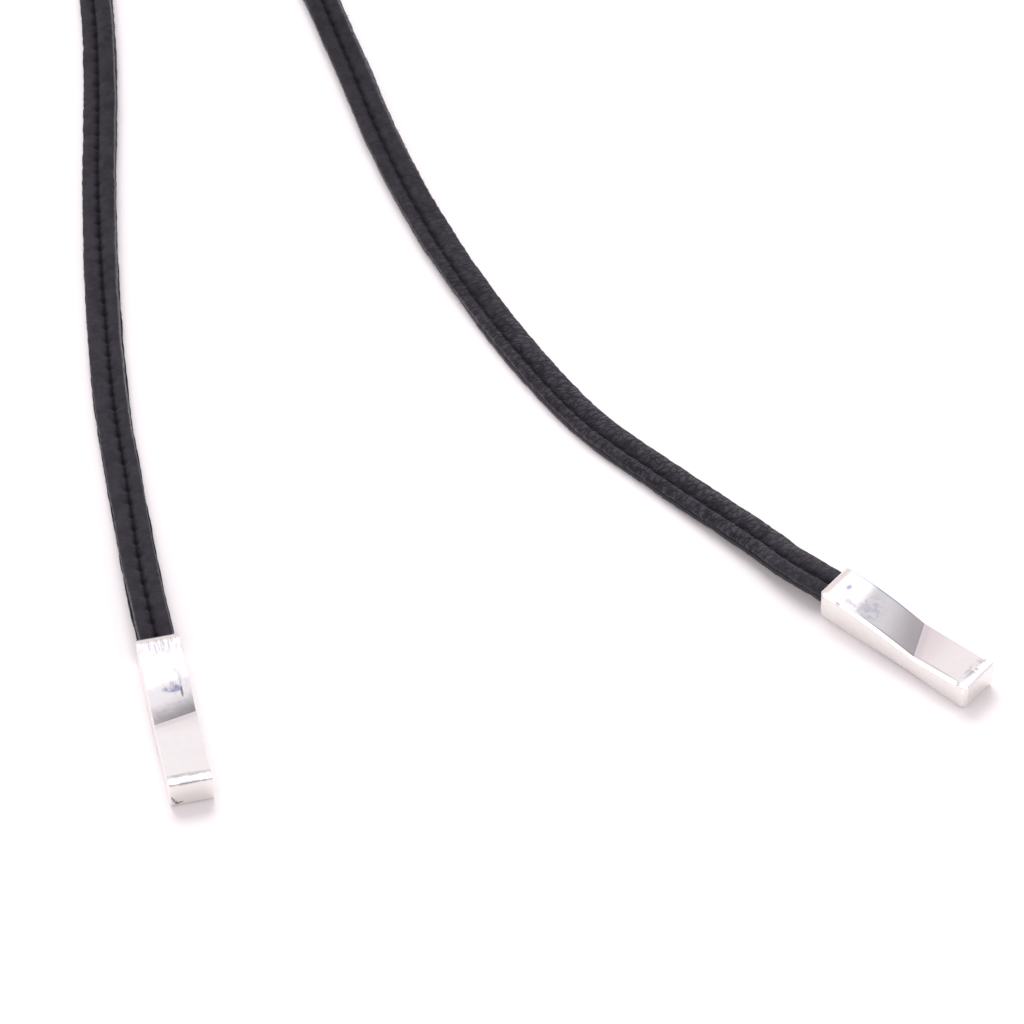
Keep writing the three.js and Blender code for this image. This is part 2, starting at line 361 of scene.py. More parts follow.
def mark(at, size, colour, share, soft=0.4, rough=0.0, sunk=0.0, top=False, broken=0.0, stretch=(1, 1, 1)):
    """A mark on a hook, of wear on some and of painted shade and painted reflection on others: its place and
    half sizes in millimetres, its colour and how strong that is, how soft its rim is, how much rougher and
    deeper it is, whether it keeps to upward faces, and how finely a pattern, stretched this way, breaks it
    up."""
    return {"at": at, "size": size, "colour": colour, "share": share, "soft": soft, "rough": rough,
            "sunk": sunk, "top": top, "broken": broken, "stretch": stretch}


# Painted warm shade over the rounded end beside the strap, a little rougher; both hooks have it
HOOK_END = mark((0.1, 0, 4.7), (0.8, 6.0, 1.5), END_SHADE, 0.8, soft=0.2, rough=0.15)
LEFT_MARKS = [
    mark((8.9, 0.6, 4.4), (0.5, 1.35, 1.0), BLUE_SMUDGE_AND_SHADE, 0.95, rough=0.05, top=True, broken=0.7),
    mark((7.4, 0.9, 4.5), (1.8, 1.2, 1.0), TARNISH_AND_SHADE, 0.55, soft=0.8, top=True, broken=1.0,
         stretch=(0.4, 2.0, 1)),
    mark((9.6, 1.6, 4.3), (0.75, 0.14, 1.0), NICK, 0.7, sunk=0.1, top=True),
    mark((1.8, 0, 4.9), (1.7, 3.2, 0.5), GREY_HAZE_AND_SHADE, 0.85, soft=0.7, top=True, broken=1.0,
         stretch=(0.5, 2.8, 1)),
    HOOK_END,
    # Painted shade in the recess of the dip, then along the lip's inner wall, broken up on the second line
    mark((13.3, 0, 3.7), (1.6, 6.0, 1.0), RECESS_SHADE, 0.5, soft=0.9, top=True),
    mark((23.1, 0, 4.4), (0.3, 4.0, 0.6), GREY_HAZE_AND_SHADE, 0.55, soft=0.8, top=True),
    mark((23.25, 0, 4.45), (0.5, 4.0, 0.6), GREY_HAZE_AND_SHADE, 0.8, soft=0.6, top=True, broken=1.1),
    # A painted dark reflection along the lip's front edge
    mark((24.78, 0, 4.56), (0.2, 4.0, 0.14), TARNISH_AND_SHADE, 0.3, soft=0.6),
    mark((24.74, 0, 4.58), (0.3, 4.0, 0.2), TARNISH_AND_SHADE, 0.65, soft=0.6, broken=1.0),
]
RIGHT_MARKS = [
    mark((2.5, 0.3, 4.9), (0.3, 0.45, 0.4), BLUE_SMUDGE_AND_SHADE, 0.85, soft=0.7),
    mark((3.0, -2.72, 4.65), (0.5, 0.15, 0.45), NICK, 0.7, soft=0.6),
    # Painted shade along the inner edge of the near bevel, beside the slope and the floor
    mark((11.5, -2.42, 4.2), (3.5, 0.13, 0.9), BLUE_SMUDGE_AND_SHADE, 0.4, soft=0.7, top=True),
    mark((18.5, -2.32, 3.9), (4.6, 0.13, 0.8), TARNISH_AND_SHADE, 0.55, soft=0.7, top=True),
    # Painted reflection: mottles where the slope starts and by its near edge, and a line along its far edge
    mark((6.6, -0.7, 4.6), (1.9, 2.2, 0.6), BLUE_SMUDGE_AND_SHADE, 0.3, top=True, broken=1.3),
    mark((4.3, -1.7, 4.8), (1.0, 0.9, 0.5), GREY_HAZE_AND_SHADE, 0.7, soft=0.7, top=True, broken=1.0),
    mark((7.0, 2.8, 4.5), (5.0, 0.16, 1.5), BLUE_SMUDGE_AND_SHADE, 0.6, soft=0.6, top=True),
    HOOK_END,
    # Painted shade in the recess of the dip, then on the lip's inner wall, broken into blotches there
    mark((14.6, 0, 3.7), (3.0, 8.0, 1.5), RECESS_SHADE, 0.72, soft=0.9, top=True),
    mark((23.3, 0.9, 4.5), (0.7, 2.2, 0.5), TARNISH_AND_SHADE, 0.85, soft=0.6, top=True, broken=1.0),
    mark((23.1, 0, 4.4), (0.3, 3.0, 0.6), GREY_HAZE_AND_SHADE, 0.6, soft=0.8, top=True),
    # A painted dark reflection along the lip's front edge
    mark((24.78, 0, 4.56), (0.2, 4.0, 0.14), TARNISH_AND_SHADE, 0.4, soft=0.6),
]

# The nick low on the left hook's tip: two short strokes, each a row of spots, by place across and height
NICK_SPOTS = rows_of(
    "y z wide tall",
    (-2.6, 1.95, 0.1, 0.3),
    (-2.4, 1.5, 0.13, 0.3),
    (-2.15, 1.05, 0.17, 0.26),
    (-1.95, 0.8, 0.28, 0.16),
    (-1.5, 0.95, 0.3, 0.12),
)
for row in NICK_SPOTS:
    LEFT_MARKS.append(mark((HOOK_LENGTH, row["y"], row["z"]), (0.5, row["wide"], row["tall"]), NICK, 0.85,
                           soft=0.5, rough=0.1, sunk=0.3))

# Shade that softens the floor's side of each dip: spots along its slanting line, by their places across
DIP_SPOTS = (-2.4, -1.2, 0.0, 1.2, 2.4)
for side, marks, reach in (("left", LEFT_MARKS, 0.35), ("right", RIGHT_MARKS, 0.5)):
    for y in DIP_SPOTS:
        x = HOOKS[side]["dip"] - HOOKS[side]["slant"] * y + reach
        marks.append(mark((x, y, DIP_HEIGHT), (reach, 0.9, 0.5), GREY_HAZE_AND_SHADE, 0.25, soft=0.9, top=True))


def seat_rows(hook):
    """Rows of the route on a hook's own line: deep in its socket, at its mouth and as far outside."""
    heading = math.radians(hook["heading"])
    rises = {SOCKET_DEPTH: SOCKET_RISE, 0: SOCKET_RISE, -SOCKET_DEPTH: SOCKET_RISE - SOCKET_SAG}
    return [(hook["x"] + depth * math.cos(heading), hook["y"] + depth * math.sin(heading), 0, rise)
            for depth, rise in rises.items()]


def smooth_rows(rows, steps):
    """Points of a smooth curve through the rows, this many to each stretch."""
    rows = np.array(rows, float)
    ends = np.vstack([2 * rows[0] - rows[1], rows, 2 * rows[-1] - rows[-2]])
    t = np.linspace(0, 1, steps, endpoint=False)[:, None]
    found = []
    for a, b, c, d in zip(ends[:-3], ends[1:-2], ends[2:-1], ends[3:]):
        start, finish = (c - a) / 2, (d - b) / 2
        found.append(b + start * t + (3 * (c - b) - 2 * start - finish) * t**2
                     + (2 * (b - c) + start + finish) * t**3)
    return np.vstack(found + [rows[-1:]])


def unit(vectors):
    return vectors / np.linalg.norm(vectors, axis=-1, keepdims=True)


class StrapLine:
    """The strap's middle line: its length, and its places and directions at any distance along it."""

    def __init__(self, rows):
        dense = smooth_rows(rows, ROUTE_STEPS)
        roll = np.radians(dense[:, 2])
        height = STRAP_HALF * np.abs(np.sin(roll)) + HALF_THICKNESS * np.cos(roll) + TABLE_CLEARANCE
        self.points = np.column_stack([dense[:, :2] - MIDDLE, height + dense[:, 3]])
        self.roll = roll
        steps = np.linalg.norm(np.diff(self.points, axis=0), axis=1)
        self.distance = np.concatenate([[0], np.cumsum(steps)])
        self.length = self.distance[-1]
        self.ways = unit(np.gradient(self.points, self.distance, axis=0))

    def read(self, values, s):
        if values.ndim == 1:
            return np.interp(s, self.distance, values)
        return np.column_stack([np.interp(s, self.distance, column) for column in values.T])

    def frames(self, s):
        """Place, side way and face way at each distance s."""
        place, way, roll = self.read(self.points, s), unit(self.read(self.ways, s)), self.read(self.roll, s)
        up = np.array([0, 0, 1.0])
        face = unit(up - way * (way @ up)[:, None])
        face = face * np.cos(roll)[:, None] + np.cross(way, face) * np.sin(roll)[:, None]
        return place, np.cross(face, way), face

    def lay(self, s, u, v):
        """Points in metres, a ring for each s of those at u across and v up, with none under the table."""
        place, side_way, face_way = self.frames(s)
        points = place[:, None] + side_way[:, None] * u[..., None] + face_way[:, None] * v[..., None]
        points[..., 2] = np.maximum(points[..., 2], LOWEST)
        return points.reshape(-1, 3) * MM


def add_to_scene(name, data):
    made = bpy.data.objects.new(name, data)
    bpy.context.scene.collection.objects.link(made)
    return made


def new_object(name, vertices, faces, smooth=True):
    mesh = bpy.data.meshes.new(name)
    mesh.from_pydata([tuple(v) for v in vertices], [], [tuple(f) for f in faces])
    mesh.update()
    if smooth:
        mesh.polygons.foreach_set("use_smooth", np.ones(len(mesh.polygons), bool))
    return add_to_scene(name, mesh)


def set_values(piece, **kept):
    """Keeps one number or one vector for each vertex under each name."""
    for name, values in kept.items():
        kind, field = ("FLOAT", "value") if values.ndim == 1 else ("FLOAT_VECTOR", "vector")
        data = piece.data.attributes.new(name, kind, "POINT").data
        data.foreach_set(field, values.astype(np.float32).ravel())


def strap_places(s, u, v):
    """The places along, across and up of a piece's vertices, a row for each."""
    return np.stack(np.broadcast_arrays(s[:, None], u, v), -1).reshape(-1, 3)


def column_at(table, column, s):
    """One column of a table at each distance s."""
    return np.interp(s, [row["at"] for row in table], [row[column] for row in table])


def ramp(value, start, reach):
    """0 up to the start, then rising to 1 over this reach."""
    return np.clip((value - start) / reach, 0, 1)


def hump(away, reach):
    """1 at no distance, falling smoothly to nearly 0 at twice the reach."""
    return np.exp(-((away / reach) ** 2))


def ripple(s, spacing, seed):
    """Smooth random values from -1 to 1 along s, a new one every spacing."""
    knots = np.arange(s.min() - spacing, s.max() + 2 * spacing, spacing)
    values = np.random.RandomState(seed).uniform(-1, 1, len(knots))
    at = np.clip(np.searchsorted(knots, s, side="right") - 1, 0, len(knots) - 2)
    t = (s - knots[at]) / spacing
    t = t * t * (3 - 2 * t)
    return values[at] * (1 - t) + values[at + 1] * t


def edge_ripple(s, edge):
    """How far a cut edge's ripples go out at each distance s."""
    return sum(far * ripple(s, spacing, seed) for far, spacing, seed in RIPPLES[edge])


def ledge(s, edge):
    """How far the under layer sticks out on one edge at each distance s."""
    out = np.zeros(len(s))
    for row in LEDGES:
        if row["edge"] == edge:
            out += row["wide"] * ramp(s, row["start"], LEDGE_FADES[0]) * ramp(-s, -row["end"], LEDGE_FADES[1])
    return out


def spread_out(u, outer, inner, half):
    """The places u across in each ring, stretched so that the two edges go out by this much."""
    return u + np.where(u > 0, outer[:, None], inner[:, None]) * u / half


def ring_faces(rings, around):
    """Faces of a closed tube of rings with this many points around, capped at both ends."""
    i, j = np.meshgrid(np.arange(rings - 1), np.arange(around), indexing="ij")
    k = (j + 1) % around
    quads = np.stack([i * around + j, i * around + k, (i + 1) * around + k, (i + 1) * around + j], -1)
    caps = [list(range(around))[::-1], list(range((rings - 1) * around, rings * around))]
    return quads.reshape(-1, 4).tolist() + caps


def stitch_phase(s):
    """Where s is between two stitch holes: 0 at a hole, 0.5 half way to the next."""
    return (s / STITCH_PITCH) % 1.0


def near_hole(s, reach):
    """How deep the stitch holes look at each s: each is a hump of this reach along the strap."""
    away = np.minimum(stitch_phase(s), 1 - stitch_phase(s)) * STITCH_PITCH
    return column_at(LAY, "holes", s) * hump(away, reach)


def seam_line(u, s, widen=1.0):
    """1 along the seam, which wavers a little and is wider at its holes, 0 away from it."""
    waver = SEAM_WAVER * np.sin(2 * np.pi * stitch_phase(s) + SEAM_WAVER_START)
    wide = column_at(LAY, "groove", s) + HOLE_WIDENING * near_hole(s, HOLE_WIDENING_LENGTH)
    return hump(u - column_at(LAY, "seam", s) - waver, wide * widen)


def face_height(u, s):
    """Height of the strap's face over its middle line; u and s are arrays of one shape."""
    fall = np.where(u > 0, column_at(LAY, "outer_fall", s), column_at(LAY, "inner_fall", s))
    top = HALF_THICKNESS - fall * ramp(np.abs(u), FALL_START, FACE_HALF - FALL_START) ** 2
    hole = near_hole(s, HOLE_LENGTH)
    seam = (SEAM_DEPTH + HOLE_DEPTH * hole) * seam_line(u, s)
    pull = (PULL_DEPTH + PULL_HOLE_DEPTH * hole) * hump(u - column_at(LAY, "seam", s), PULL_REACH)
    return top - seam - pull


def face_section():
    """The upper layer's outline across the strap: u, v, and 1 where v is measured from its face.
    Beside it comes the place in the list of the inner edge's foot."""
    low = LAYER_GAP / 2
    outer = [(FACE_HALF, low - FACE_LAP, 0.0), (FACE_HALF, low + FACE_FOOT, 0.0)]
    for turn in np.radians(SHOULDER_TURNS):
        out, drop = SHOULDER_ROUND * math.cos(turn), SHOULDER_ROUND * (1 - math.sin(turn))
        outer.append((FACE_FLAT + out, -drop, 1.0))
    across = [(u, 0, 1.0) for u in np.linspace(FACE_FLAT, -FACE_FLAT, FACE_POINTS)]
    inner = [(-u, v, from_top) for u, v, from_top in reversed(outer)]
    lining = [(-FACE_HALF + FACE_LINING, low - FACE_LINING, 0.0)]
    hollow = [(FACE_HALF * share, low + rise, 0.0) for share, rise in FACE_HOLLOW]
    edge_round = outer + across + inner
    return np.array(edge_round + lining + hollow), len(edge_round) - 1


def pale_edge_and_highlight(s, u, from_top):
    """How much of the pale line shows at each s along and u across: the cut edge's own colour at its foot,
    a painted highlight on its shoulder.
    """
    outer, inner = column_at(EDGES, "outer_edge", s)[:, None], column_at(EDGES, "inner_edge", s)[:, None]
    run_in = (FACE_HALF - np.abs(u)) / column_at(EDGES, "inset", s)[:, None]
    shoulder = column_at(PALE_LINE, "strength", run_in) * from_top
    foot = np.isclose(np.abs(u), FACE_HALF) * (1 - from_top)
    low = column_at(EDGES, "low", s)[:, None]
    return (shoulder * (1 - low) + foot * low) * np.where(u > 0, outer, inner)


def face_tone_and_painted_light(s, u, cover):
    """How pale the face is at each s along and u across: its own paleness with painted light, a painted sheen
    on its two sides, and painted shade on the inner shoulder and on the wall of the covering edge.
    """
    tone = column_at(LAY, "tone", s)[:, None]
    glow = tone - GLOW_FROM
    # Painted sheen: the far and the near side made paler where the face is already pale
    far = np.clip(glow * FAR_GLOW["share"], 0, 1) * ramp(u, FAR_GLOW["start"], FAR_GLOW["reach"]) ** 2
    near = np.clip(glow * NEAR_GLOW["share"], 0, 1) * ramp(-u, NEAR_GLOW["start"], NEAR_GLOW["reach"])
    # Painted shade on the inner shoulder, and on the wall of the edge that covers the under layer
    turned = column_at(NEAR_SHADE, "share", s)[:, None] * ramp(-u, *NEAR_SHADE_PLACE)
    wall = COVER_SHADE * cover[:, None] * np.isclose(u, -FACE_HALF)
    return (tone + far + near) * (1 - turned - wall)


def strap_face(line):
    """The upper leather layer, with its sewn groove, rounded shoulders and cut edges."""
    s = np.linspace(0, line.length, int(line.length / RING_STEP))
    section, inner_foot = face_section()
    u, v, from_top = section.T
    u_all, s_all = np.broadcast_arrays(u, s[:, None])
    v_all = v + from_top * face_height(np.clip(u_all, -FACE_FLAT, FACE_FLAT), s_all)
    cover = column_at(COVER, "share", s)
    v_all[:, inner_foot] -= COVER_DROP * np.clip(2 * cover - 1, 0, 1)
    inner = edge_ripple(s, "face_inner") + COVER_SPREAD * cover
    u_all = spread_out(u, edge_ripple(s, "face_outer"), inner, FACE_HALF)
    piece = new_object("strap_face_leather", line.lay(s, u_all, v_all), ring_faces(len(s), len(u)))
    seam = seam_line(u_all, s_all, SEAM_SHADE_WIDTH) * from_top
    holes = near_hole(s, HOLE_LENGTH)[:, None]
    set_values(
        piece,
        strap_place=strap_places(s, u_all, v_all),
        raw_edge=pale_edge_and_highlight(s, u, from_top).ravel(),
        seam=(seam * (SEAM_SHADE + (1 - SEAM_SHADE) * holes)).ravel(),
        crease=np.repeat(column_at(LAY, "wrinkles", s), len(u)),
        tone=face_tone_and_painted_light(s, u, cover).ravel(),
    )
    return piece


def back_section():
    """The under layer's outline across the strap: u and v."""
    high, low = -LAYER_GAP / 2, -HALF_THICKNESS
    (cut_in, cut_down), (low_in, low_up) = BACK_CHAMFER, BACK_LOWER_CHAMFER
    upper = [(STRAP_HALF, high - cut_down), (STRAP_HALF - cut_in, high)]
    lower = [(STRAP_HALF - low_in, low), (STRAP_HALF, low + low_up)]
    top = [(STRAP_HALF * share, high - sag) for share, sag in BACK_SAG]
    groove = [(u, low + BACK_GROOVE_DEPTH * hump(u, BACK_GROOVE_REACH)) for u in BACK_GROOVE_POINTS]
    inner = [(-u, v) for u, v in reversed(lower + upper)]
    return np.array(upper + top + inner + groove + lower)


def strap_back(line):
    """The lower leather layer, a little wider than the upper one, with a sewn groove under it."""
    s = np.linspace(0, line.length, int(line.length / BACK_RING_STEP))
    u, v = back_section().T
    outer = edge_ripple(s, "back_outer") + ledge(s, 1)
    inner = edge_ripple(s, "back_inner") + ledge(s, -1)
    u_all = spread_out(u, outer, inner, STRAP_HALF)
    v_all = np.repeat(v[None, :], len(s), axis=0)
    piece = new_object("strap_back_leather", line.lay(s, u_all, v_all), ring_faces(len(s), len(u)))
    raw = (np.abs(u) > STRAP_HALF - BACK_EDGE_BAND) * BACK_EDGE_TONE
    seam = hump(u, BACK_GROOVE_REACH) * (v < -LAYER_THICKNESS / 2)
    set_values(
        piece,
        strap_place=strap_places(s, u_all, v_all),
        raw_edge=np.tile(raw, len(s)),
        seam=np.tile(seam, len(s)),
        crease=np.full(u_all.size, BACK_WRINKLES),
        # The under layer's paleness, raised as painted light along the right-hand run
        tone=np.repeat(column_at(UNDER_TONE_AND_PAINTED_LIGHT, "tone", s), len(u)),
    )
    return piece


def stitches(line, name, side):
    """The thread of one side's stitches, from hole to hole; side is 1 on the face and -1 on the back."""
    first, last = STITCH_MARGIN / STITCH_PITCH, (line.length - STITCH_MARGIN) / STITCH_PITCH
    centres = np.arange(math.ceil(first) + 0.5, last - 0.5) * STITCH_PITCH
    t = np.linspace(-1, 1, THREAD_RINGS)
    thick = THREAD_RADIUS * np.sqrt(np.clip(1 - t**6, 0.02, 1))[:, None]
    angle = np.linspace(0, 2 * np.pi, THREAD_SIDES, endpoint=False)
    vertices, faces, places = [], [], []
    for centre in centres:
        s = centre + t * STITCH_LENGTH / 2
        drift = STITCH_SKEW * np.sin(np.pi * t / 2)
        if side > 0:
            drift = drift + column_at(LAY, "seam", s)
            height = face_height(drift, s) + THREAD_RADIUS * STITCH_SHOWS - STITCH_SINK * t**4
        else:
            height = -HALF_THICKNESS + BACK_STITCH_RISE + BACK_STITCH_SINK * t**4
        u = drift[:, None] + thick * np.cos(angle)
        v = height[:, None] + THREAD_FLATNESS * thick * np.sin(angle)
        start = len(vertices)
        vertices.extend(line.lay(s, u, v))
        faces.extend([[start + i for i in face] for face in ring_faces(THREAD_RINGS, THREAD_SIDES)])
        places.append(strap_places(s, u, v))
    piece = new_object(name, vertices, faces)
    set_values(piece, strap_place=np.vstack(places))
    return piece


def edge_fibres(line):
    """Short loose fibres along the cut edges, thickest on the near edge of the right-hand end."""
    rng = np.random.RandomState(FIBRE_SEED)
    turns = np.arange(3) * 2 * math.pi / 3
    vertices, faces, places = [], [], []
    for row in FIBRES:
        start, end = (at if at >= 0 else line.length + at for at in (row["start"], row["end"]))
        edge = row["edge"]
        s = np.sort(rng.uniform(start, end, row["count"]))
        for at, place, out, up in zip(s, *line.frames(s)):
            length = rng.uniform(*FIBRE_LENGTHS)
            root = place + out * edge * (STRAP_HALF - FIBRE_ROOT) + up * rng.uniform(*FIBRE_HEIGHTS)
            forward = np.cross(out, up)
            lean = unit(out * edge + forward * rng.uniform(*FIBRE_LEANS) + up * rng.uniform(*FIBRE_TILTS))
            bend = up * rng.uniform(*FIBRE_BENDS) + forward * rng.uniform(*FIBRE_BENDS)
            spine = [root, root + lean * length * FIBRE_BEND_AT + bend, root + lean * length]
            if min(point[2] for point in spine) < FIBRE_LOWEST:
                continue
            first = len(vertices)
            for point, radius in zip(spine, FIBRE_RADII):
                for turn in turns:
                    vertices.append((point + radius * (math.cos(turn) * forward + math.sin(turn) * up)) * MM)
                    places.append((at, edge * STRAP_HALF, turn))
            vertices.append(spine[2] * MM)
            places.append((at, edge * STRAP_HALF, 0))
            for a, b in ((0, 1), (1, 2), (2, 0)):
                faces.append([first + a, first + b, first + 3 + b, first + 3 + a])
                faces.append([first + 3 + a, first + 3 + b, first + 6])
            faces.append([first + 2, first + 1, first])
    piece = new_object("edge_fibres", vertices, faces)
    set_values(piece, strap_place=np.array(places))
    return piece


def bow(a, b, c, count):
    """Points of a curve from a to c that bends towards b, without the first."""
    t = np.linspace(0, 1, count + 1)[1:, None]
    a, b, c = (np.array(p, float) for p in (a, b, c))
    return ((1 - t) ** 2 * a + 2 * t * (1 - t) * b + t**2 * c).tolist()


def round_corner(before, corner, after, size, count=12):
    """Points that round a corner off, starting and ending this far from it."""
    before, corner, after = (np.array(p, float) for p in (before, corner, after))
    first, last = corner + size * unit(before - corner), corner + size * unit(after - corner)
    return [first.tolist()] + bow(first, corner, last, count)


def hook_outline(dip):
    """Side outline of a hook half, anticlockwise: feet, tip, lip, dipped floor, slope, flat top and heel."""
    floor_slope = (FLOOR_END_HEIGHT - DIP_HEIGHT) / (FLOOR_END - dip)
    foot_slope = math.tan(math.radians(SLOPE_TILT))
    slope_start = dip - (TOP_HEIGHT - DIP_HEIGHT) / foot_slope
    heel, toe = HEEL_ROUND, HOOK_LENGTH - TOE_ROUND
    tip, lip = (HOOK_LENGTH, LIP_HEIGHT), (LIP_AT, LIP_HEIGHT)
    wall_slope = LIP_DROP / LIP_WALL
    wall_run = (LIP_HEIGHT - DIP_HEIGHT - floor_slope * (LIP_AT - dip)) / (wall_slope - floor_slope)
    wall_foot = [LIP_AT - wall_run, LIP_HEIGHT - wall_run * wall_slope]
    end_start, end_height = END_LENGTH + 2 * STRAIGHT, TOP_HEIGHT - END_DROP
    points = [[heel, 0], [heel + STRAIGHT, 0], [FOOT_LENGTH, 0]]
    points += bow(points[-1], (HOOK_LENGTH / 2, 2 * ARCH), (HOOK_LENGTH - FOOT_LENGTH, 0), 16)
    points += [[toe - STRAIGHT, 0], [toe, 0]]
    points += bow(points[-1], (HOOK_LENGTH, 0), (HOOK_LENGTH, TOE_ROUND), 14)
    points += [[HOOK_LENGTH, TOE_ROUND + STRAIGHT]]
    points += round_corner(points[-1], tip, lip, LIP_ROUND)
    points += round_corner(tip, lip, wall_foot, LIP_ROUND)
    points += [wall_foot, [dip, DIP_HEIGHT]]
    points += bow(points[-1], (slope_start, TOP_HEIGHT), (TOP_LENGTH, TOP_HEIGHT), 24)
    points += [[TOP_LENGTH - 2 * STRAIGHT, TOP_HEIGHT]]
    points += [[end_start + STRAIGHT, TOP_HEIGHT], [end_start, TOP_HEIGHT]]
    points += bow(points[-1], (END_LENGTH / 2, TOP_HEIGHT), (0, end_height), 8)
    points += [[0, end_height - STRAIGHT / 2], [0, heel + STRAIGHT], [0, heel]]
    points += bow(points[-1], (0, 0), (heel, 0), 14)[:-1]
    return np.array(points)


def inset(outline, distance):
    """The outline moved inwards; an edge that would turn round shrinks to a point."""
    edges = np.roll(outline, -1, axis=0) - outline
    inward = unit(np.column_stack([-edges[:, 1], edges[:, 0]]))
    before = np.roll(inward, 1, axis=0)
    share = 1 + (inward * before).sum(1, keepdims=True)
    moved = outline + distance * (inward + before) / share
    for _ in range(INSET_ROUNDS):
        turned = ((np.roll(moved, -1, axis=0) - moved) * edges).sum(1) < 0
        for i in np.nonzero(turned)[0]:
            j = (i + 1) % len(moved)
            moved[i] = moved[j] = (moved[i] + moved[j]) / 2
    return moved


def bevel_rings(bevel):
    """How far in and how far out each ring of a hook's side lies, from the side face to the hook's middle."""
    half, reach = HOOK_WIDTH / 2, min(BEVEL_ROUND, bevel) * math.tan(math.pi / 8)
    slant = reach * math.sqrt(0.5)
    outer = [[bevel + reach, half]]
    outer += bow(outer[0], (bevel, half), (bevel - slant, half - slant), 6)
    inner = [[slant, half - bevel + slant]]
    inner += bow(inner[0], (0, half - bevel), (0, half - bevel - reach), 6)
    return [[bevel + reach + SIDE_MARGIN, half]] + outer + inner + [[0, half - bevel - reach - TOP_MARGIN]]


def slant_dip(place, hook):
    """Where a point of the bar goes along it, so that the dip runs slantwise."""
    dip = hook["dip"]
    share = min((place.x - TOP_LENGTH) / (dip - TOP_LENGTH), (FLOOR_END - place.x) / (FLOOR_END - dip))
    return place.x - hook["slant"] * place.y * max(share, 0)


def cut_socket(piece):
    """Cuts the strap's socket out of a hook that lies along X in millimetres."""
    outside, inside = -1, SOCKET_DEPTH + SOCKET_END_GAP
    wide, tall = STRAP_HALF + SOCKET_CLEARANCE, HALF_THICKNESS + SOCKET_CLEARANCE
    corners = [(x, y, z) for x in (outside, inside) for y in (-wide, wide)
               for z in (SOCKET_HEIGHT - tall, SOCKET_HEIGHT + tall)]
    sides = [(0, 1, 3, 2), (4, 6, 7, 5), (0, 4, 5, 1), (2, 3, 7, 6), (0, 2, 6, 4), (1, 5, 7, 3)]
    space = new_object("socket_space", corners, sides, smooth=False)
    cut = piece.modifiers.new("socket", "BOOLEAN")
    cut.operation, cut.solver, cut.object = "DIFFERENCE", "EXACT", space
    shown = piece.evaluated_get(bpy.context.evaluated_depsgraph_get())
    old, piece.data = piece.data, bpy.data.meshes.new_from_object(shown)
    piece.modifiers.clear()
    bpy.data.meshes.remove(old)
    bpy.data.objects.remove(space)


def silver_hook(side):
    """A polished hook half with rounded bevels and the open socket for the strap."""
    hook = HOOKS[side]
    outline = hook_outline(hook["dip"])
    right_side, left_side = (bevel_rings(bevel) for bevel in hook["bevels"])
    rings = left_side + [[0, 0]] + [[d, -y] for d, y in reversed(right_side)]
    vertices = []
    for distance, y in rings:
        ring = inset(outline, distance) if distance else outline
        vertices.extend([(x, y, z) for x, z in ring])
    piece = new_object(f"silver_hook_{side}", vertices, ring_faces(len(rings), len(outline)))
    mesh = bmesh.new()
    mesh.from_mesh(piece.data)
    bmesh.ops.remove_doubles(mesh, verts=mesh.verts, dist=MERGE_DISTANCE)
    bmesh.ops.dissolve_degenerate(mesh, edges=mesh.edges, dist=MERGE_DISTANCE)
    bmesh.ops.recalc_face_normals(mesh, faces=mesh.faces)
    for vertex in mesh.verts:
        vertex.co.x = slant_dip(vertex.co, hook)
    mesh.to_mesh(piece.data)
    mesh.free()
    cut_socket(piece)
    place = np.empty(len(piece.data.vertices) * 3, np.float32)
    piece.data.vertices.foreach_get("co", place)
    place = place.reshape(-1, 3)
    set_values(piece, hook_place=place)
    turn = math.radians(hook["heading"])
    x = place[:, 0] * math.cos(turn) - place[:, 1] * math.sin(turn) + hook["x"] - MIDDLE[0]
    y = place[:, 0] * math.sin(turn) + place[:, 1] * math.cos(turn) + hook["y"] - MIDDLE[1]
    at = np.column_stack([x, y, place[:, 2]]) * MM
    piece.data.vertices.foreach_set("co", at.astype(np.float32).ravel())
    piece.data.polygons.foreach_set("use_smooth", np.ones(len(piece.data.polygons), bool))
    piece.data.set_sharp_from_angle(angle=math.radians(SHARP_ANGLE))
    piece.data.update()
    normals = np.empty(len(piece.data.vertices) * 3, np.float32)
    piece.data.vertex_normals.foreach_get("vector", normals)
    set_values(piece, facing_up=normals.reshape(-1, 3)[:, 2])
    return piece


def set_inputs(tree, node, inputs):
    """Gives a node its inputs, each of them another node's output or a value."""
    for key, value in inputs.items():
        if isinstance(value, bpy.types.NodeSocket):
            tree.links.new(value, node.inputs[key])
        else:
            node.inputs[key].default_value = value


def add_node(tree, kind, inputs=None, **settings):
    made = tree.nodes.new(kind)
    for key, value in settings.items():
        setattr(made, key, value)
    set_inputs(tree, made, inputs or {})
    return made


def new_material(name):
    """A new material and its node tree and main shader."""
    material = bpy.data.materials.new(name)
    material.use_nodes = True
    return material, material.node_tree, material.node_tree.nodes["Principled BSDF"]


def maths(tree, operation, a, b):
    return add_node(tree, "ShaderNodeMath", {0: a, 1: b}, operation=operation).outputs[0]


def times(tree, a, b):
    return maths(tree, "MULTIPLY", a, b)


def plus(tree, a, b):
    return maths(tree, "ADD", a, b)


def minus(tree, a, b):
    return maths(tree, "SUBTRACT", a, b)


def vector_maths(tree, operation, a, b):
    return add_node(tree, "ShaderNodeVectorMath", {0: a, 1: b}, operation=operation).outputs[0]


def ease(tree, value, low, high, first=0.0, second=1.0):
    """Goes smoothly from first to second as value goes from low to high."""
    inputs = {"Value": value, "From Min": low, "From Max": high, "To Min": first, "To Max": second}
    return add_node(tree, "ShaderNodeMapRange", inputs, interpolation_type="SMOOTHSTEP").outputs[0]


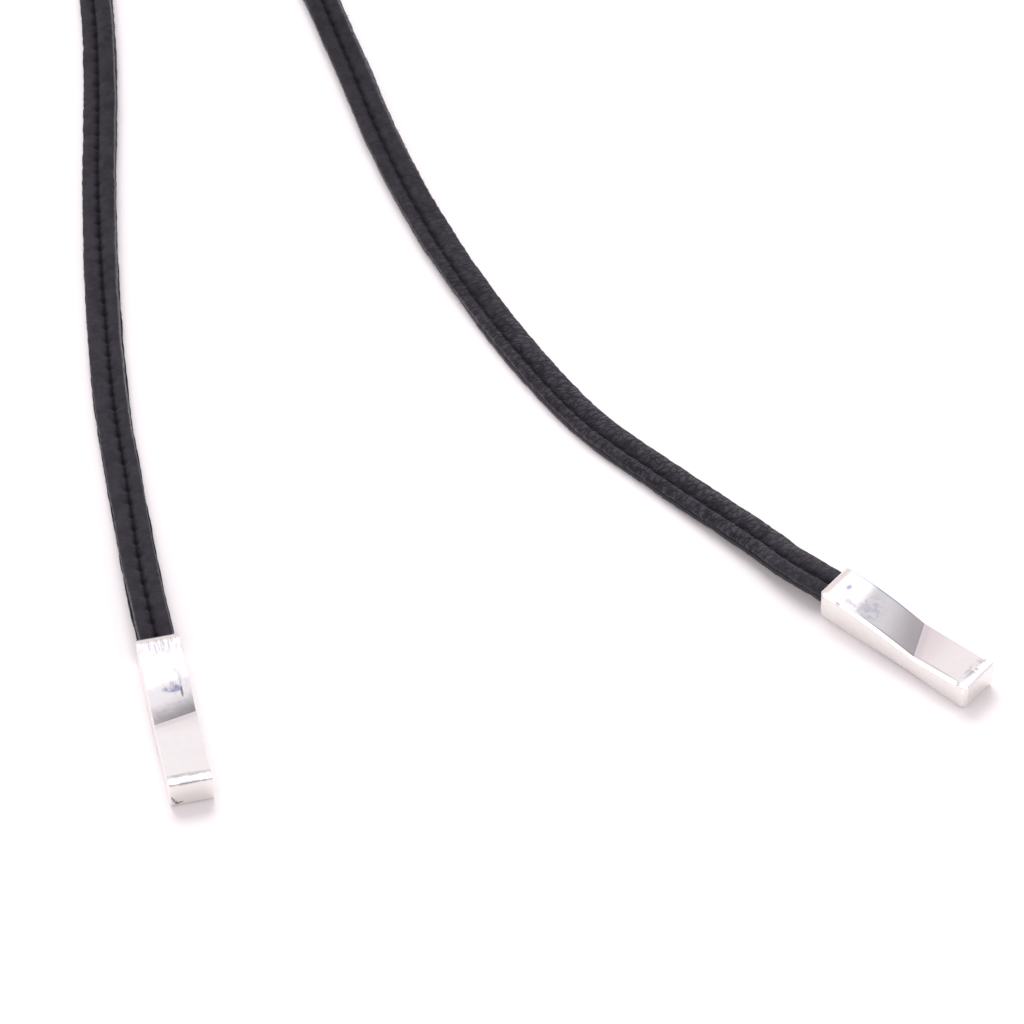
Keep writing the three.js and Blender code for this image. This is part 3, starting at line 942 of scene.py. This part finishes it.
def mix_colour(tree, share, a, b, blend="MIX"):
    inputs = {0: share, 6: a, 7: b}
    return add_node(tree, "ShaderNodeMix", inputs, data_type="RGBA", blend_type=blend).outputs[2]


def stretched(tree, vector, scale):
    return add_node(tree, "ShaderNodeMapping", {"Vector": vector, "Scale": scale}).outputs[0]


def noise(tree, vector, scale, detail=3.0, rough=0.55):
    inputs = {"Vector": vector, "Scale": scale, "Detail": detail, "Roughness": rough}
    return add_node(tree, "ShaderNodeTexNoise", inputs).outputs["Fac"]


def cells(tree, vector, scale, feature="DISTANCE_TO_EDGE"):
    inputs = {"Vector": vector, "Scale": scale}
    return add_node(tree, "ShaderNodeTexVoronoi", inputs, feature=feature).outputs["Distance"]


def relief(tree, depths, **heights):
    """Reliefs on top of each other, each with its own depth in metres."""
    under = {}
    for name, height in heights.items():
        inputs = {"Height": height, "Distance": depths[name], "Strength": 1.0, **under}
        under["Normal"] = add_node(tree, "ShaderNodeBump", inputs).outputs[0]
    return under["Normal"]


def attribute(tree, name, output="Fac"):
    return add_node(tree, "ShaderNodeAttribute", attribute_name=name).outputs[output]


def leather_material(name, edge_colour):
    """Matt black leather: grain, blotches, wrinkles across the strap with painted shade in them and painted
    light and shade on their pebbles, painted shade in the seam and pores, paler cut edges with a painted
    highlight on the shoulders, and a paleness that carries painted light and shade.
    """
    material, tree, shader = new_material(name)
    place = attribute(tree, "strap_place", "Vector")
    raw, crease, seam, tone = (attribute(tree, kept) for kept in ("raw_edge", "crease", "seam", "tone"))

    # Patterns
    pores = ease(tree, cells(tree, place, 3.4), 0.0, 0.2)
    fine = noise(tree, place, 5.0, 4.0, 0.65)
    warp = noise(tree, place, 0.8, 2.0)
    bent = vector_maths(tree, "ADD", stretched(tree, place, (1.3, 0.8, 0.8)), warp)
    wrinkle = times(tree, ease(tree, cells(tree, bent, 1.0), 0.0, 0.3, 1.0, 0.0), crease)
    # Painted light on the middles of the wrinkle cells and painted shade at their rims
    pebble_light_and_shade = times(tree, ease(tree, cells(tree, bent, 1.0, "F1"), 0.0, 0.7, 0.35, -0.2), crease)
    cloud = noise(tree, stretched(tree, place, (0.6, 0.6, 0.6)), 1.0, 4.0, 0.6)
    fibres = noise(tree, stretched(tree, place, (1.6, 5.0, 5.0)), 1.0, 4.0, 0.7)

    # Colour: painted shade in wrinkles, seam, stitch holes and pores, painted light and shade on the
    # wrinkles' pebbles, blotched and grained all over, scaled by the paleness with its painted light and
    # shade, and paler on the cut edges and their painted shoulder highlight
    hollow = maths(tree, "MAXIMUM", times(tree, wrinkle, 0.45), seam)
    hollow = maths(tree, "MAXIMUM", hollow, ease(tree, pores, 0.0, 1.0, 0.2, 0.0))
    blotch_and_painted_light = plus(tree, ease(tree, cloud, 0.3, 0.7, 0.8, 1.25), pebble_light_and_shade)
    grain = times(tree, blotch_and_painted_light, ease(tree, fine, 0.3, 0.7, 0.8, 1.2))
    shade = times(tree, times(tree, grain, tone), minus(tree, 1.0, times(tree, hollow, 0.7)))
    tint = add_node(tree, "ShaderNodeCombineColor", {0: shade, 1: shade, 2: shade}).outputs[0]
    plain = mix_colour(tree, 1.0, FACE_COLOUR, tint, "MULTIPLY")
    raw_and_highlight_share = times(tree, raw, ease(tree, fibres, 0.35, 0.6, 0.2, 1.0))

    shine = times(tree, ease(tree, hollow, 0.0, 0.9, 0.15, 0.03), blotch_and_painted_light)
    set_inputs(tree, shader, {
        "Base Color": mix_colour(tree, raw_and_highlight_share, plain, edge_colour),
        "Roughness": plus(tree, ease(tree, fine, 0.3, 0.7, 0.48, 0.62), times(tree, raw, 0.25)),
        "Specular IOR Level": times(tree, shine, tone),
        "Sheen Weight": times(tree, tone, 0.12),
        "Sheen Roughness": 0.4,
        "Sheen Tint": SHEEN_TINT,
        "Normal": relief(tree, LEATHER_RELIEF, pores=pores, grain=fine,
                         wrinkles=minus(tree, 1.0, wrinkle), edge=times(tree, fibres, raw)),
    })
    return material


def thread_material():
    """Waxed black thread with its twist."""
    material, tree, shader = new_material("black_thread")
    place = attribute(tree, "strap_place", "Vector")
    twist = {"Vector": place, "Rotation": (0, 0, math.radians(THREAD_TWIST))}
    turned = add_node(tree, "ShaderNodeMapping", twist).outputs[0]
    strands = {"Vector": turned, "Scale": 1.3, "Distortion": 0.6}
    wave = add_node(tree, "ShaderNodeTexWave", strands).outputs["Fac"]
    set_inputs(tree, shader, {
        "Base Color": mix_colour(tree, ease(tree, wave, 0.2, 0.8), *THREAD_COLOURS),
        "Roughness": ease(tree, noise(tree, place, 3.0), 0.3, 0.7, 0.6, 0.75),
        "Specular IOR Level": 0.15,
        "Normal": relief(tree, THREAD_RELIEF, strands=wave),
    })
    return material


def fibre_material():
    """Loose leather fibres, grey to dark blue-green."""
    material, tree, shader = new_material("leather_fibres")
    share = noise(tree, attribute(tree, "strap_place", "Vector"), 0.9, 2.0)
    set_inputs(tree, shader, {
        "Base Color": mix_colour(tree, ease(tree, share, 0.35, 0.65), *FIBRE_COLOURS),
        "Roughness": ease(tree, share, 0.3, 0.7, 0.7, 0.9),
    })
    return material


def spot(tree, place, centre, size, soft):
    """1 inside an egg-shaped spot of these half sizes in millimetres, 0 outside, with a soft rim."""
    scaled = vector_maths(tree, "DIVIDE", vector_maths(tree, "SUBTRACT", place, centre), size)
    away = add_node(tree, "ShaderNodeVectorMath", {0: scaled}, operation="LENGTH").outputs["Value"]
    return ease(tree, away, 1 - soft, 1 + soft, 1.0, 0.0)


def silver_material(name, marks):
    """Polished silver with faint waves and polishing streaks, rougher sides and ends whose colour is darkened
    and warmed as painted shade, and these marks.
    """
    material, tree, shader = new_material(name)
    place = attribute(tree, "hook_place", "Vector")
    waves = noise(tree, place, 0.28, 2.0, 0.4)
    hammer = noise(tree, place, 1.3, 3.0, 0.5)
    streaks = noise(tree, stretched(tree, place, (0.5, 9.0, 9.0)), 1.0, 4.0, 0.65)
    cloud = noise(tree, place, 0.8, 4.0, 0.6)
    # Sides and ends, by the way their faces point: rougher, with painted shade in their colour
    satin_and_painted_shade = ease(tree, attribute(tree, "facing_up"), 0.3, 0.6, 1.0, 0.0)
    upward = minus(tree, 1.0, satin_and_painted_shade)
    colour = mix_colour(tree, ease(tree, cloud, 0.35, 0.7), *SILVER_COLOURS)
    colour = mix_colour(tree, satin_and_painted_shade, colour, SIDE_PAINTED_SHADE_COLOUR)
    rough = ease(tree, streaks, 0.35, 0.75, 0.05, 0.09)
    rough = plus(tree, rough, times(tree, satin_and_painted_shade, SATIN_ROUGHNESS))
    dent = 0.0
    for row in marks:
        here = spot(tree, place, row["at"], row["size"], row["soft"])
        if row["top"]:
            here = times(tree, here, upward)
        if row["broken"]:
            pattern = noise(tree, stretched(tree, place, row["stretch"]), row["broken"], 3.0)
            here = times(tree, here, ease(tree, pattern, 0.42, 0.6))
        colour = mix_colour(tree, times(tree, here, row["share"]), colour, row["colour"])
        rough = plus(tree, rough, times(tree, here, row["rough"]))
        dent = plus(tree, dent, times(tree, here, row["sunk"]))
    dent = minus(tree, 0.0, dent)
    normal = relief(tree, SILVER_RELIEF, waves=waves, hammer=hammer, streaks=streaks, marks=dent)
    set_inputs(tree, shader, {"Base Color": colour, "Metallic": 1.0, "Roughness": rough, "Normal": normal})
    return material


def make_camera():
    """The photo's camera, level from side to side, at its height angle over the picture's middle."""
    data = bpy.data.cameras.new("photo_camera")
    data.sensor_fit = "HORIZONTAL"
    data.sensor_width = SENSOR_WIDTH
    data.lens = SENSOR_WIDTH * FOCAL_PIXELS / PICTURE_SIDE
    data.clip_start = 0.01
    made = add_to_scene("photo_camera", data)
    angle = math.radians(CAMERA_HEIGHT_ANGLE)
    made.location = TARGET + Vector((0, -math.cos(angle), math.sin(angle))) * CAMERA_DISTANCE
    made.rotation_euler = (math.pi / 2 - angle, 0, 0)
    bpy.context.scene.camera = made


def make_lights():
    """The soft lights, each turned to the picture's middle."""
    for row in LIGHTS:
        data = bpy.data.lights.new(row["name"], "AREA")
        data.shape = "RECTANGLE"
        data.size, data.size_y = row["size"]
        data.energy = row["watts"]
        made = add_to_scene(row["name"], data)
        made.visible_glossy = row["mirrored"]
        turn, height = math.radians(row["azimuth"]), math.radians(row["height"])
        level = math.cos(height)
        way = Vector((math.sin(turn) * level, math.cos(turn) * level, math.sin(height)))
        made.location = TARGET + way * row["distance"]
        made.rotation_euler = way.to_track_quat("Z", "Y").to_euler()


def make_world():
    """Soft light of a pale room, with a bright panel high on the wall behind, dimmer above and beside it."""
    world = bpy.data.worlds.new("studio")
    world.use_nodes = True
    bpy.context.scene.world = world
    tree = world.node_tree
    way = add_node(tree, "ShaderNodeTexCoord").outputs["Generated"]
    x, y, z = add_node(tree, "ShaderNodeSeparateXYZ", {0: way}).outputs
    turn, rim = math.radians(PANEL["right"]), PANEL["rim"]
    low, high = math.sin(math.radians(PANEL["low"])), math.sin(math.radians(PANEL["high"]))

    # How far a direction lies to the right of the panel's right side, and whether it is above its foot
    beside = minus(tree, times(tree, x, math.cos(turn)), times(tree, y, math.sin(turn)))
    rise = plus(tree, z, ease(tree, beside, 0.1, 0.2, 0.0, 0.05))
    above = ease(tree, rise, low - rim, low + rim)

    # Brightness
    dim = ease(tree, beside, 0.0, 0.06, 0.0, SIDE_DIM)
    dim = plus(tree, dim, ease(tree, beside, 0.13, 0.28, 0.0, SIDE_DIM))
    dim = plus(tree, dim, ease(tree, z, high + 0.021, high + 0.0355, 0.0, CEILING_DIM))
    panel = ease(tree, z, high - rim, high + rim, 1.0, 0.0)
    panel = times(tree, panel, ease(tree, beside, -0.005, 0.045, 1.0, 0.0))
    panel = times(tree, panel, ease(tree, y, 0.1, 0.35, 0.0, PANEL["glow"]))
    strength = plus(tree, ROOM_GLOW, times(tree, above, minus(tree, panel, dim)))
    strength = times(tree, strength, ease(tree, y, -0.3, 0.1, FRONT_GLOW, 1.0))

    # Colour
    wall = mix_colour(tree, ease(tree, z, low - 0.05, low - 0.02), WALL_COLOUR, WALL_TOP_COLOUR)
    colour = mix_colour(tree, above, wall, CEILING_COLOUR)
    colour = mix_colour(tree, ease(tree, y, -0.3, 0.1, 1.0, 0.0), colour, FRONT_COLOUR)
    set_inputs(tree, tree.nodes["Background"], {"Color": colour, "Strength": strength})


def make_floor():
    """The white table top, a stage and no part of the object."""
    corners = [(x * TABLE_REACH, y * TABLE_REACH, 0) for x, y in ((-1, -1), (1, -1), (1, 1), (-1, 1))]
    made = new_object("table_top", corners, [(0, 1, 2, 3)], smooth=False)
    material, tree, shader = new_material("white_table")
    place = add_node(tree, "ShaderNodeTexCoord").outputs["Object"]
    share = ease(tree, noise(tree, place, 9.0, 2.0), 0.3, 0.7)
    colour = mix_colour(tree, share, *TABLE_COLOURS)
    set_inputs(tree, shader, {"Base Color": colour, "Roughness": 0.9, "Specular IOR Level": 0.1})
    made.data.materials.append(material)


strap_line = StrapLine(seat_rows(HOOKS["left"]) + ROUTE + seat_rows(HOOKS["right"])[::-1])
make_camera()

face = strap_face(strap_line)
back = strap_back(strap_line)
face_stitches = stitches(strap_line, "stitches_face", 1)
back_stitches = stitches(strap_line, "stitches_back", -1)
fibres = edge_fibres(strap_line)
hooks = {side: silver_hook(side) for side in HOOKS}

face.data.materials.append(leather_material("black_leather", FACE_EDGE_AND_HIGHLIGHT_COLOUR))
back.data.materials.append(leather_material("black_leather_under", UNDER_EDGE_COLOUR))
thread = thread_material()
face_stitches.data.materials.append(thread)
back_stitches.data.materials.append(thread)
fibres.data.materials.append(fibre_material())
hooks["left"].data.materials.append(silver_material("polished_silver_left", LEFT_MARKS))
hooks["right"].data.materials.append(silver_material("polished_silver_right", RIGHT_MARKS))

leather_pieces = [face, back, face_stitches, back_stitches, fibres]
for piece in leather_pieces + list(hooks.values()):
    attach(piece, "root")
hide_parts("leather_strap_top")
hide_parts("leather_strap_under")
for side, piece in hooks.items():
    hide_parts(f"hook_{side}")

make_lights()
make_world()
make_floor()
bpy.context.scene.view_settings.view_transform = "Standard"
